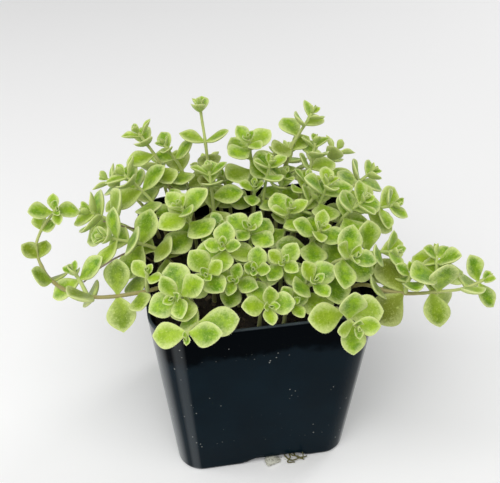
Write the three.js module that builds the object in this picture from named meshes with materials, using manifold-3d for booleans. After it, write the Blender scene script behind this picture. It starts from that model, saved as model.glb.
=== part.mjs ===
// Potted crassula: a small-leaved, velvety crassula that spills over a square plastic nursery pot.
// Millimetres, +Z up. The origin is the middle of the pot's underside, and the pot's front faces -Y.
import * as THREE from "three";
import { ConvexGeometry } from "three/addons/geometries/ConvexGeometry.js";
import { mergeVertices } from "three/addons/utils/BufferGeometryUtils.js";
import Module from "manifold-3d";

const wasm = await Module();
wasm.setup();

// ---- Driving dimensions -------------------------------------------------------------------------
const POT_TOP_WIDTH = 76;
const POT_BASE_WIDTH = 63;
const POT_HEIGHT = 77;
const POT_WALL = 1.2;
const POT_FLOOR = 1.4;
const TOP_CORNER_RADIUS = 12;
const BASE_CORNER_RADIUS = 9;
const FOOT_BEVEL = 1;
const CORNER_STEPS = 5;

const DRAIN_HEIGHT = 2.8; // each side has one low arch, which runs inwards as a channel
const DRAIN_WIDTH = 17;
const DRAIN_FLARE = 4.5;
const DRAIN_OFFSET = 4;
const DRAIN_PAD = 10; // half width of the flat pad left in the middle of the underside
const DRAIN_HOLE_RADIUS = 3;

const SOIL_DROP = 9; // from the rim down to the potting mix
const SOCKET_DEPTH = 4; // how far each stem goes into the potting mix
const SOCKET_SLACK = 1.5; // a stem leans in its socket
const FIT_GAP = 0.3;

const STEM_RADIUS_TIP = 0.5;
const STEM_RADIUS_BASE = 0.85;
const STEM_SIDES = 4;
const LEAF_LENGTH = 11.4;
const LEAF_WIDTH = 9.4;
const LEAF_THICKNESS = 2.1;
const LEAF_FOOT = 0.01; // share of its length at which a leaf leaves the middle of its stem
const LEAF_GAP = 0.35; // the least air between one shoot's leaves and anything else
const ROOT_RADIUS = 0.35;
const ROOT_STEPS = 10;

// The shoots' plan below is laid out in an opening of this half width and grows with the pot.
const PLAN_HALF_WIDTH = 38;

// ---- Leaf pairs, from the tip of a shoot downwards ----------------------------------------------
// along: distance from the tip; length: share of LEAF_LENGTH; open: angle between leaf and stem.
const PAIRS = [
  { along: 1.1, length: 0.4, open: 38 },
  { along: 2.6, length: 0.7, open: 60 },
  { along: 5.8, length: 0.92, open: 70 },
  { along: 10.6, length: 1.04, open: 80 },
  { along: 16.2, length: 1.06, open: 88 },
  { along: 22.5, length: 1, open: 94 },
  { along: 29.5, length: 0.94, open: 100 },
  { along: 37, length: 0.9, open: 96 },
  { along: 45, length: 0.9, open: 92 },
];
const LIGHT = new THREE.Vector3(-0.12, -0.5, 0.86); // leaves turn their faces this way
const FACE_TO_LIGHT = 0.5; // 0 keeps a leaf as it grew on its stem, 1 turns it all the way
const FACING_LENGTH = 10; // leaves nearer to the tip than this turn less
const TRAILING_FACE_TO_LIGHT = 0.8;
const PAIR_TURN = 90;
const TWIN_TURN = 180;

// A crowded leaf leans, turns or stays smaller: [lean, turn, share of its length], tried in order.
const YIELDS = [
  [0, 0, 1],
  [10, 0, 1],
  [-12, 0, 1],
  [0, 18, 1],
  [0, -18, 1],
  [20, 12, 0.92],
  [-24, -12, 0.92],
  [8, 32, 0.88],
  [8, -32, 0.88],
  [-34, 0, 0.8],
  [30, 0, 0.78],
  [-10, 24, 0.7],
  [-10, -24, 0.7],
  [0, 0, 0.58],
];

// ---- Upright shoots ------------------------------------------------------------------------------
// [root x, y], [tip x, y, height over the rim], leaf size, pairs, turn of the first pair, spacing
const UPRIGHT_SHOOTS = {
  left: [
    [[-25, -2], [-49.5, -5.5, 17], 1.02, 7, 45, 0.85],
    [[-27, 13], [-41.5, 19, 25], 1, 5, 90, 0.9],
    [[-31, 5], [-54, 9.5, 17], 1.14, 4, 75, 0.8],
    [[-31, 25], [-48, 36, 12], 0.95, 4, 120, 1],
  ],
  back_left: [
    [[-23, 23], [-35, 29, 35], 0.86, 6, 90, 1],
    [[-17, 28], [-26, 28, 29], 0.92, 5, 0, 1.25],
    [[-11, 21], [-13, 29, 43], 0.9, 6, 165, 2.3],
    [[-25, 29], [-29, 46, 11], 0.95, 4, 45, 1],
    [[-6, 30], [-10, 46, 9], 0.9, 4, 80, 1],
  ],
  back_middle: [
    [[-11, 12], [-12, 16.5, 25], 0.94, 5, 90, 1],
    [[-3, 27], [-6.5, 26, 15], 0.7, 4, 50, 1],
    [[5, 26], [2.5, 20, 33], 0.96, 5, 30, 1],
    [[4, 18], [3.5, 14, 18], 0.8, 4, 75, 1],
  ],
  back_right: [
    [[13, 23], [26, 25, 39], 0.82, 6, 30, 1],
    [[23, 18], [27, 23.5, 28], 0.86, 5, 105, 1],
    [[18, 13], [22.5, 13.5, 20], 0.8, 4, 75, 1],
    [[11, 13], [14.5, 15.5, 21], 0.82, 4, 60, 1],
    [[23, 5], [27.5, 4.5, 23], 1, 5, 0, 0.9],
    [[14, 5], [23, 6, 16], 0.86, 4, 60, 1],
    [[6, 14], [9, 14, 27], 0.92, 5, 105, 1],
    [[18, 30], [22, 45, 12], 0.95, 4, 30, 1],
    [[29, 29], [40, 38, 15], 0.95, 4, 65, 1],
  ],
  right: [
    [[26, -3], [36.5, -7.5, 23], 1, 5, 15, 1],
    [[30, 5], [48, -6.5, 19], 0.95, 5, 60, 1],
    [[27, -12], [42.5, -25.5, 15], 0.95, 4, 25, 1],
    [[32, 16], [47, 17, 17], 0.95, 4, 0, 1],
  ],
  centre: [
    [[-18, 2], [-23.5, -1, 23], 1.06, 5, 30, 0.85],
    [[-9, -11], [-12.5, -21, 21], 0.86, 5, 75, 1],
    [[-1, -5], [-2.5, -11, 19], 0.94, 4, 135, 1],
    [[11, 0], [12.5, -2.5, 19], 1, 4, 105, 1],
    [[17, -9], [20.5, -15, 19], 0.95, 5, 165, 0.85],
    [[20, -19], [27, -30.5, 19], 1.1, 5, 75, 1],
    [[-15, -14], [-18.5, -27, 15], 0.92, 4, 120, 1],
    [[-7, -18], [-10, -26.5, 11], 0.78, 4, 150, 1],
    [[0, -17], [-3.5, -26, 14], 0.8, 4, 75, 1],
    [[7, -17], [6, -25, 15], 0.82, 4, 45, 0.85],
    [[-20, 13], [-24, 13, 15], 0.95, 4, 10, 1],
    [[-6, 2], [-11, -2.5, 14], 0.88, 4, 15, 1],
  ],
  front: [
    [[-22, -23], [-29.5, -36, 15], 1.04, 4, 15, 1],
    [[-2, -28], [-0.5, -38, 9], 0.9, 4, 0, 0.85],
    [[13, -25], [15, -31, 11], 1, 4, 30, 1],
    [[21, -29], [23.5, -50, 8], 1.05, 4, 90, 1],
    [[6, -29], [7.5, -33.5, 5], 0.85, 3, 30, 1],
  ],
};

// ---- Trailing shoots lie over the rim ------------------------------------------------------------
// Each branch follows a list of [x, y, height over the rim]. Its joints, from the tip downwards, each
// carry one pair of leaves: [distance from the tip, leaf size, angle to the stem, turn].
const TRAILING_SHOOTS = {
  left_trailing_shoot: [
    {
      root: [-25, -12],
      points: [
        [-31, -17, 2.5], [-38.5, -19.5, 4], [-50, -20, 4], [-60, -17, 4], [-68, -9, 5],
        [-71.5, -2, 11], [-69.5, 2, 16], [-65.5, 4, 20.5], [-63.6, 2, 24],
      ],
      joints: [
        [0.6, 0.36, 40, 60], [1.3, 0.52, 72, 60], [2.4, 0.78, 88, 150], [10.4, 0.5, 38, 90],
        [19.8, 0.62, 40, 135], [29.1, 0.82, 65, 165], [45, 1.1, 70, 165], [52.9, 1.04, 95, 75],
        [60.1, 0.92, 80, 135],
      ],
    },
    {
      points: [
        [-56, -18.6, 4], [-58, -14, 6.5], [-60, -11, 9],
      ],
      joints: [
        [0.8, 0.36, 35, 0], [1.8, 0.55, 65, 75], [3.8, 1, 85, 150],
      ],
    },
    {
      points: [
        [-37, -19.2, 4], [-37, -19.8, 8], [-36.5, -20, 12],
      ],
      joints: [
        [0.8, 0.36, 30, 45], [2, 0.62, 60, 135],
      ],
    },
  ],
  right_trailing_shoot: [
    {
      root: [24, -20],
      points: [
        [31, -27, 3.5], [38.5, -32.5, 4.5], [46, -35, 4.5], [54, -36, 5], [62, -37, 6],
        [69, -37, 9],
      ],
      joints: [
        [0.9, 0.45, 45, 15], [2.2, 0.85, 85, 105], [6.5, 0.88, 75, 15], [15.4, 1.1, 80, 135],
        [17.4, 1, 85, 75], [26.5, 1.2, 125, 60], [34, 1, 85, 0],
      ],
    },
    {
      points: [
        [44, -34.5, 4.5], [45, -33, 8], [46.5, -31.5, 11],
      ],
      joints: [
        [0.7, 0.36, 35, 0], [1.8, 0.55, 70, 0], [3.8, 0.8, 92, 90],
      ],
    },
    {
      points: [
        [54, -36, 5], [54.5, -33, 9], [55, -29, 14],
      ],
      joints: [
        [0.7, 0.6, 60, 30], [2.2, 0.9, 78, 120], [6, 1.08, 90, 30],
      ],
    },
  ],
  front_trailing_shoot: [
    {
      root: [-14, -29],
      points: [
        [-20, -36, 4], [-25, -41, 7], [-27, -45, 7.5],
      ],
      joints: [
        [0.6, 0.3, 35, 75], [1.6, 1.02, 85, 165], [7.4, 1.12, 125, 165],
      ],
    },
  ],
};

// ---- Colours ------------------------------------------------------------------------------------
const potPlastic = new THREE.MeshStandardMaterial({ color: 0x101820, roughness: 0.3, metalness: 0 });
const leafGreen = new THREE.MeshStandardMaterial({ color: 0x9cc455, roughness: 0.75, metalness: 0 });
const pottingMix = new THREE.MeshStandardMaterial({ color: 0x1c1712, roughness: 1, metalness: 0 });
const rootBrown = new THREE.MeshStandardMaterial({ color: 0x8c8458, roughness: 0.9, metalness: 0 });
const perliteWhite = new THREE.MeshStandardMaterial({ color: 0xc9cbc8, roughness: 0.9, metalness: 0 });

// ---- Solids -------------------------------------------------------------------------------------
const X_AXIS = new THREE.Vector3(1, 0, 0);
const MERGE_DISTANCE = 1e-4;

function solid(geometry) {
  const bare = geometry.clone();
  bare.deleteAttribute("normal");
  bare.deleteAttribute("uv");
  const merged = mergeVertices(bare, MERGE_DISTANCE);
  return new wasm.Manifold(
    new wasm.Mesh({
      numProp: 3,
      vertProperties: merged.attributes.position.array,
      triVerts: new Uint32Array(merged.index.array),
    }),
  );
}

function meshOf(name, body, material) {
  const cut = body.getMesh();
  const geometry = new THREE.BufferGeometry();
  geometry.setAttribute("position", new THREE.BufferAttribute(new Float32Array(cut.vertProperties), 3));
  geometry.setIndex(new THREE.BufferAttribute(new Uint32Array(cut.triVerts), 1));
  geometry.computeVertexNormals();
  const mesh = new THREE.Mesh(geometry, material.clone());
  mesh.name = name;
  return mesh;
}

// Skins a stack of rings of equally many points, each ring turning anticlockwise as seen from the last.
function loft(rings) {
  const sides = rings[0].length;
  const positions = rings.flat().flatMap((p) => [p.x, p.y, p.z]);
  const faces = [];
  for (let r = 0; r + 1 < rings.length; r++) {
    for (let i = 0; i < sides; i++) {
      const a = r * sides + i;
      const b = r * sides + ((i + 1) % sides);
      faces.push(a, b, b + sides, a, b + sides, a + sides);
    }
  }
  const last = (rings.length - 1) * sides;
  for (let i = 1; i + 1 < sides; i++) {
    faces.push(0, i + 1, i, last, last + i, last + i + 1);
  }
  const geometry = new THREE.BufferGeometry();
  geometry.setAttribute("position", new THREE.Float32BufferAttribute(positions, 3));
  geometry.setIndex(faces);
  return geometry;
}

// ---- Pot ----------------------------------------------------------------------------------------
function roundedSquare(half, radius, z) {
  const ring = [];
  for (let corner = 0; corner < 4; corner++) {
    const middle = new THREE.Vector2(half - radius, half - radius).rotateAround(
      new THREE.Vector2(), (corner * Math.PI) / 2);
    for (let step = 0; step <= CORNER_STEPS; step++) {
      const angle = ((corner + step / CORNER_STEPS) * Math.PI) / 2;
      ring.push(new THREE.Vector3(
        middle.x + radius * Math.cos(angle), middle.y + radius * Math.sin(angle), z));
    }
  }
  return ring;
}

// The pot's wall at height z, moved inwards by inset.
function potRing(z, inset) {
  const rise = z / POT_HEIGHT;
  const half = THREE.MathUtils.lerp(POT_BASE_WIDTH, POT_TOP_WIDTH, rise) / 2 - inset;
  const radius = THREE.MathUtils.lerp(BASE_CORNER_RADIUS, TOP_CORNER_RADIUS, rise) - inset;
  return roundedSquare(half, radius, z);
}

// A drain channel's section, grown outwards by grow, from the middle pad out through the front wall.
function drainChannel(grow, low, reach) {
  const top = DRAIN_HEIGHT + grow;
  const narrow = DRAIN_WIDTH / 2 + grow;
  const wide = narrow + (DRAIN_FLARE * (top - low)) / DRAIN_HEIGHT;
  const section = (y) => [
    new THREE.Vector3(DRAIN_OFFSET - wide, y, low),
    new THREE.Vector3(DRAIN_OFFSET + wide, y, low),
    new THREE.Vector3(DRAIN_OFFSET + narrow, y, top),
    new THREE.Vector3(DRAIN_OFFSET - narrow, y, top),
  ];
  return loft([section(-DRAIN_PAD + grow), section(-reach)]);
}

function onEverySide(geometry) {
  let joined = null;
  for (let side = 0; side < 4; side++) {
    const turned = solid(geometry.clone().rotateZ((side * Math.PI) / 2));
    joined = joined ? joined.add(turned) : turned;
  }
  return joined;
}

function buildPot() {
  const outside = solid(loft([potRing(0, FOOT_BEVEL), potRing(FOOT_BEVEL, 0), potRing(POT_HEIGHT, 0)]));
  const inside = solid(loft([potRing(POT_FLOOR, POT_WALL), potRing(POT_HEIGHT + POT_WALL, POT_WALL)]));
  const reach = POT_TOP_WIDTH / 2;
  const humps = onEverySide(drainChannel(POT_FLOOR, POT_FLOOR / 2, reach)).intersect(outside);
  const channels = onEverySide(drainChannel(0, -POT_FLOOR, reach));
  const hole = new THREE.CylinderGeometry(
    DRAIN_HOLE_RADIUS, DRAIN_HOLE_RADIUS, POT_WALL + DRAIN_HEIGHT + 2 * POT_FLOOR, 10);
  hole.rotateX(Math.PI / 2).translate(DRAIN_OFFSET, -drainHoleReach(), DRAIN_HEIGHT);
  return outside.subtract(inside).add(humps).subtract(channels).subtract(onEverySide(hole));
}

function drainHoleReach() {
  return (DRAIN_PAD + POT_BASE_WIDTH / 2) / 2;
}

// ---- Potting mix, with a socket for each stem ----------------------------------------------------
const rimHeight = POT_HEIGHT;
const soilTop = POT_HEIGHT - SOIL_DROP;

function buildSoil(sockets) {
  const inset = POT_WALL + FIT_GAP;
  const block = solid(loft([potRing(POT_FLOOR + FIT_GAP, inset), potRing(soilTop, inset)]));
  const humps = onEverySide(drainChannel(POT_FLOOR + FIT_GAP, 0, POT_TOP_WIDTH / 2));
  return sockets.reduce((mix, socket) => mix.subtract(socket), block.subtract(humps));
}

// ---- Stems and leaves ---------------------------------------------------------------------------
// A spot on a stem: its place, the heading towards the tip, and a side direction across it.
function squared(direction, heading) {
  return direction.clone().addScaledVector(heading, -direction.dot(heading)).normalize();
}

function across(spot, turn) {
  return spot.side.clone().applyAxisAngle(spot.heading, THREE.MathUtils.degToRad(turn));
}

function stemRing(spot, radius) {
  const ring = [];
  for (let i = 0; i < STEM_SIDES; i++) {
    ring.push(across(spot, (360 * i) / STEM_SIDES).multiplyScalar(radius).add(spot.place));
  }
  return ring;
}

// Walks a smooth curve through the points. The side starts as near +X as it can and never twists.
function walk(points, steps) {
  const curve = new THREE.CatmullRomCurve3(points, false, "catmullrom", 0.5);
  const places = [];
  for (let i = 0; i <= steps; i++) places.push(curve.getPoint(i / steps));
  let side = X_AXIS;
  const spots = places.map((place, i) => {
    const heading = new THREE.Vector3()
      .subVectors(places[Math.min(i + 1, steps)], places[Math.max(i - 1, 0)])
      .normalize();
    side = squared(side, heading);
    return { place, heading, side, fromTip: 0 };
  });
  for (let i = steps - 1; i >= 0; i--) {
    spots[i].fromTip = spots[i + 1].fromTip + places[i].distanceTo(places[i + 1]);
  }
  return spots;
}

function spotFromTip(spots, distance) {
  let i = spots.length - 2;
  while (i > 0 && spots[i].fromTip < distance) i--;
  const [low, high] = [spots[i], spots[i + 1]];
  const share = (low.fromTip - distance) / (low.fromTip - high.fromTip);
  const heading = low.heading.clone().lerp(high.heading, share).normalize();
  return {
    place: low.place.clone().lerp(high.place, share),
    heading,
    side: squared(low.side.clone().lerp(high.side, share), heading),
  };
}

// The corners of a plump, pointed leaf: a narrow foot in the stem, raised edges, a full underside.
function leafCorners(spot, turn, open, facing, length) {
  const { place, heading } = spot;
  const angle = THREE.MathUtils.degToRad(open);
  const side = across(spot, turn);
  const out = heading.clone().multiplyScalar(Math.cos(angle)).addScaledVector(side, Math.sin(angle));
  const grown = heading.clone().multiplyScalar(Math.sin(angle)).addScaledVector(side, -Math.cos(angle));
  const face = squared(grown.lerp(LIGHT, facing), out);
  const edge = new THREE.Vector3().crossVectors(face, out);
  const halfWidth = (LEAF_WIDTH / LEAF_LENGTH / 2) * length;
  const thickness = (LEAF_THICKNESS / LEAF_LENGTH) * length;
  const corner = (along, wide, high) =>
    place.clone()
      .addScaledVector(out, along * length)
      .addScaledVector(edge, wide * halfWidth)
      .addScaledVector(face, high * thickness);
  return [
    corner(LEAF_FOOT, 0, 0),
    corner(0.36, -0.86, 0.3),
    corner(0.36, 0.86, 0.3),
    corner(0.68, -0.84, 0.34),
    corner(0.68, 0.84, 0.34),
    corner(0.46, 0, -0.66),
    corner(1, 0, 0.22),
  ];
}

// True when a plane parts two sets of corners with more than gap between them. It looks for the
// plane by stepping towards the two sets' nearest points, so a doubtful pair counts as touching.
const SEARCH_STEPS = 14;

function furthest(corners, direction) {
  let best = corners[0];
  for (const c of corners) if (c.dot(direction) > best.dot(direction)) best = c;
  return best;
}

function apart(a, b, gap) {
  const between = new THREE.Vector3().subVectors(a[0], b[0]);
  for (let step = 0; step < SEARCH_STEPS; step++) {
    const nearA = furthest(a, between.clone().negate());
    const nearB = furthest(b, between);
    const support = new THREE.Vector3().subVectors(nearA, nearB);
    if (support.dot(between) > gap * between.length()) return true;
    const change = support.clone().sub(between);
    const share = THREE.MathUtils.clamp(-between.dot(change) / (change.lengthSq() + 1e-12), 0, 1);
    between.addScaledVector(change, share);
  }
  return false;
}

// Everything placed so far, as convex pieces with the shoot that owns each.
const placed = [];

function ball(corners) {
  const middle = corners.reduce((sum, c) => sum.add(c), new THREE.Vector3()).divideScalar(corners.length);
  const reach = Math.max(...corners.map((c) => c.distanceTo(middle)));
  return { middle, reach };
}

function put(owner, corners) {
  placed.push({ owner, corners, ...ball(corners) });
}

function isClear(owner, corners) {
  const { middle, reach } = ball(corners);
  return placed.every(
    (other) =>
      other.owner === owner ||
      other.middle.distanceTo(middle) > other.reach + reach + LEAF_GAP ||
      apart(corners, other.corners, LEAF_GAP),
  );
}

// ---- Laying out the shoots ----------------------------------------------------------------------
const planScale = POT_TOP_WIDTH / 2 / PLAN_HALF_WIDTH;
const UPRIGHT_STEPS = 5;
const STEPS_PER_POINT = 1.5;
const LEAN_SHARE = 0.3; // an upright stem has leant this much when it has risen by RISE_SHARE
const RISE_SHARE = 0.62;

function overRim([x, y, height]) {
  return new THREE.Vector3(x * planScale, y * planScale, rimHeight + height);
}

// A stem's first two points: in its socket, and just clear of the potting mix.
function stemFoot([x, y]) {
  const start = new THREE.Vector3(x * planScale, y * planScale, soilTop - SOCKET_DEPTH + FIT_GAP);
  return [start, start.clone().setZ(soilTop + STEM_RADIUS_BASE + FIT_GAP)];
}

// The pairs in their order, each a quarter turn from the last. Spacing stretches the older joints.
function uprightJoints(size, pairs, turn, spacing) {
  return PAIRS.slice(0, pairs).map(({ along, length, open }, i) => [
    along * (i > 1 ? spacing : 1),
    length * size,
    open,
    turn + PAIR_TURN * i,
    FACE_TO_LIGHT * Math.min(1, along / FACING_LENGTH),
  ]);
}

function uprightBranch([root, tip, ...growth]) {
  const [start, surface] = stemFoot(root);
  const end = overRim(tip);
  const bend = surface.clone().lerp(end, LEAN_SHARE);
  bend.z = THREE.MathUtils.lerp(surface.z, end.z, RISE_SHARE);
  const spots = walk([start, surface, bend, end], UPRIGHT_STEPS);
  return { spots, joints: uprightJoints(...growth), rooted: true };
}

function trailingBranch({ root, points, joints }) {
  const foot = root ? stemFoot(root) : [];
  const route = [...foot, ...points.map(overRim)];
  const spots = walk(route, Math.ceil(STEPS_PER_POINT * route.length));
  const turnedJoints = joints.map((joint) => [...joint, TRAILING_FACE_TO_LIGHT]);
  return { spots, joints: turnedJoints, rooted: Boolean(root) };
}

const shoots = [];
for (const [name, branches] of Object.entries(TRAILING_SHOOTS)) {
  shoots.push({ name, branches: branches.map(trailingBranch), solids: [] });
}
for (const [region, rows] of Object.entries(UPRIGHT_SHOOTS)) {
  rows.forEach((row, i) =>
    shoots.push({ name: `${region}_shoot_${i + 1}`, branches: [uprightBranch(row)], solids: [] }));
}

// ---- Placing: the pot and the mix first, then all stems, then leaves from the tips down ----------
function placeWalls() {
  const outer = [potRing(POT_HEIGHT / 2, 0), potRing(POT_HEIGHT, 0)];
  const inner = [potRing(POT_HEIGHT / 2, POT_WALL), potRing(POT_HEIGHT, POT_WALL)];
  const count = outer[0].length;
  for (let i = 0; i < count; i++) {
    const next = (i + 1) % count;
    put("pot", [...outer, ...inner].flatMap((ring) => [ring[i], ring[next]]));
  }
  put("soil", [...potRing(soilTop - SOCKET_DEPTH, POT_WALL), ...potRing(soilTop, POT_WALL)]);
}

function stemRadius(spot, length) {
  return THREE.MathUtils.lerp(STEM_RADIUS_TIP, STEM_RADIUS_BASE, spot.fromTip / length);
}

function placeStem(shoot, branch) {
  const { spots } = branch;
  const rings = spots.map((spot) => stemRing(spot, stemRadius(spot, spots[0].fromTip)));
  shoot.solids.push(solid(loft(rings)));
  for (let i = 0; i + 1 < rings.length; i++) put(shoot.name, [...rings[i], ...rings[i + 1]]);
}

function placePair(shoot, branch, index) {
  if (index >= branch.joints.length) return;
  const [distance, size, open, turn, facing] = branch.joints[index];
  const bare = LEAF_THICKNESS + (branch.rooted ? SOCKET_DEPTH : 0);
  if (distance > branch.spots[0].fromTip - bare) return;
  const spot = spotFromTip(branch.spots, distance);
  for (const twin of [0, TWIN_TURN]) {
    for (const [lean, twist, share] of YIELDS) {
      const length = LEAF_LENGTH * size * share;
      const corners = leafCorners(spot, turn + twin + twist, open + lean, facing, length);
      if (!isClear(shoot.name, corners)) continue;
      shoot.solids.push(solid(new ConvexGeometry(corners)));
      put(shoot.name, corners);
      break;
    }
  }
}

placeWalls();
for (const shoot of shoots) shoot.branches.forEach((branch) => placeStem(shoot, branch));
const jointCounts = shoots.flatMap(({ branches }) => branches.map(({ joints }) => joints.length));
for (let index = 0; index < Math.max(...jointCounts); index++) {
  for (const shoot of shoots) shoot.branches.forEach((branch) => placePair(shoot, branch, index));
}

// ---- Roots and a perlite grain in the front drain arch ------------------------------------------
function rootStrand(points) {
  const spots = walk(points.map(([x, y, z]) => new THREE.Vector3(x, y, z)), ROOT_STEPS);
  return solid(loft(spots.map((spot) => stemRing(spot, ROOT_RADIUS))));
}

function buildRoots() {
  const holeY = -drainHoleReach();
  const archY = -POT_BASE_WIDTH / 2;
  const start = [DRAIN_OFFSET + 1, holeY, DRAIN_HEIGHT];
  const routes = [
    [start, [6, archY + 6, 1.4], [9, archY - 1.2, 0.7], [13.5, archY - 1.6, 1.6], [16, archY - 0.8, 0.8]],
    [start, [8, archY + 5, 1.2], [9.5, archY - 0.6, 1.8], [8.2, archY - 2.4, 1.0], [11, archY - 2.6, 0.6]],
    [start, [9, archY + 6, 1.4], [12, archY - 0.4, 0.9], [14.2, archY - 1.7, 1.2], [13.8, archY - 2.2, 5.4]],
  ];
  return routes.map(rootStrand).reduce((all, strand) => all.add(strand));
}

function buildPerlite() {
  const grain = new THREE.DodecahedronGeometry(1, 0);
  grain.scale(2.8, 2.1, DRAIN_HEIGHT / 2 - FIT_GAP);
  grain.rotateZ(0.5);
  grain.translate(3, -POT_BASE_WIDTH / 2 - 1, DRAIN_HEIGHT / 2 - FIT_GAP / 2);
  return solid(grain);
}

// ---- Assembly -----------------------------------------------------------------------------------
const sockets = shoots.map((shoot) => {
  const foot = shoot.branches[0].spots[0];
  const radius = STEM_RADIUS_BASE + SOCKET_SLACK;
  const ringAt = (z) => stemRing({ ...foot, place: foot.place.clone().setZ(z) }, radius);
  return solid(loft([ringAt(soilTop - SOCKET_DEPTH), ringAt(soilTop + FIT_GAP)]));
});

const plant = new THREE.Group();
plant.add(meshOf("pot", buildPot(), potPlastic));
plant.add(meshOf("potting_mix", buildSoil(sockets), pottingMix));
plant.add(meshOf("drain_roots", buildRoots(), rootBrown));
plant.add(meshOf("perlite_grain", buildPerlite(), perliteWhite));
for (const shoot of shoots) {
  plant.add(meshOf(shoot.name, shoot.solids.reduce((all, piece) => all.add(piece)), leafGreen));
}

export default plant;
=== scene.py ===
"""Potted crassula: the look of the plant, its pot and the studio. +Z is up and the front faces -Y."""

import math
import random

import bpy
import numpy as np
from mathutils import Matrix, Vector, noise


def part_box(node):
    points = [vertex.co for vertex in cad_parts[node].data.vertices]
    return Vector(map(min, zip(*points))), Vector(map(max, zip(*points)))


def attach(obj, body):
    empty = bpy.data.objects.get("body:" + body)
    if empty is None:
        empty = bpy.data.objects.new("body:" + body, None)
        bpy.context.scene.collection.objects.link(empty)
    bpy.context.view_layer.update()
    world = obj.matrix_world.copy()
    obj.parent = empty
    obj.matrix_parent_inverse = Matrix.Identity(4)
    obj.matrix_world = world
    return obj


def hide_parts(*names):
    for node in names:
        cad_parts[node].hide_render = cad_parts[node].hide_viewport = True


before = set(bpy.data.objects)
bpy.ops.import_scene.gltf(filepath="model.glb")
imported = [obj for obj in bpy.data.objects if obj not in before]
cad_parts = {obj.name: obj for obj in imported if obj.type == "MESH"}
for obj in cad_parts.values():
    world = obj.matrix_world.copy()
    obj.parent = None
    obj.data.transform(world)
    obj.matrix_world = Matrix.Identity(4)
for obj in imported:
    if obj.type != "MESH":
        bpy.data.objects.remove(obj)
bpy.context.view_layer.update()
MM = 0.001
noise.seed_set(20)  # without a seed, noise_vector changes from run to run

# ---- Sizes, in millimetres -----------------------------------------------------------------------
POT_TOP_WIDTH = 76
POT_BASE_WIDTH = 63
POT_HEIGHT = 77
POT_WALL = 1.2
POT_FLOOR = 1.4
TOP_CORNER_RADIUS = 12
BASE_CORNER_RADIUS = 9
DRAIN_HEIGHT = 2.8
DRAIN_WIDTH = 17
DRAIN_FLARE = 4.5
DRAIN_OFFSET = 4
DRAIN_PAD = 10
SOIL_DROP = 9
SOCKET_DEPTH = 4
FIT_GAP = 0.3
STEM_RADIUS_TIP = 0.5
STEM_RADIUS_BASE = 0.85
LEAF_LENGTH = 11.4
LEAF_WIDTH = 9.4
LEAF_THICKNESS = 2.1
LEAF_GAP = 0.35
SOIL_TOP = POT_HEIGHT - SOIL_DROP

# Sizes of the look alone
RIM_ROUNDING = 0.12
FOOT_INSET = 0.8
FOOT_THICKNESS = 1.1
DRAIN_HOLE_RADIUS = 3.0
CHANNEL_END = 1.2
HAIR_RADIUS = 0.028
HAIR_ROOT = 0.03  # how deep a hair starts in the leaf
STRAND_RADIUS = 0.36
BUD_SHARE = 0.24
BUD_OPENING = 12
YOUNG_REACH = 9  # leaves nearer to the tip than this are narrower and more cupped

# ---- The growth rule: the same leaf pairs and shoots as the solid model --------------------------
# one row for each pair: distance from the tip, share of the leaf length, angle between leaf and stem
PAIRS = [
    (1.1, 0.4, 38), (2.6, 0.7, 60), (5.8, 0.92, 70), (10.6, 1.04, 80), (16.2, 1.06, 88), (22.5, 1.0, 94),
    (29.5, 0.94, 100), (37.0, 0.9, 96), (45.0, 0.9, 92),
]
LIGHT = np.array([-0.12, -0.5, 0.86])
FACE_TO_LIGHT = 0.5
FACING_LENGTH = 10
TRAILING_FACE_TO_LIGHT = 0.8
# what a leaf tries in turn, until it is clear of other shoots: lean, twist, share of its length
YIELDS = [
    (0, 0, 1), (10, 0, 1), (-12, 0, 1), (0, 18, 1), (0, -18, 1), (20, 12, 0.92), (-24, -12, 0.92),
    (8, 32, 0.88), (8, -32, 0.88), (-34, 0, 0.8), (30, 0, 0.78), (-10, 24, 0.7), (-10, -24, 0.7),
    (0, 0, 0.58),
]
# the corners of a leaf's hull, as shares of its length, half width and thickness
LEAF_HULL = [
    (0.01, 0, 0), (0.36, -0.86, 0.3), (0.36, 0.86, 0.3), (0.68, -0.84, 0.34), (0.68, 0.84, 0.34),
    (0.46, 0, -0.66), (1, 0, 0.22),
]
LEAN_SHARE = 0.3
RISE_SHARE = 0.62

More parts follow.
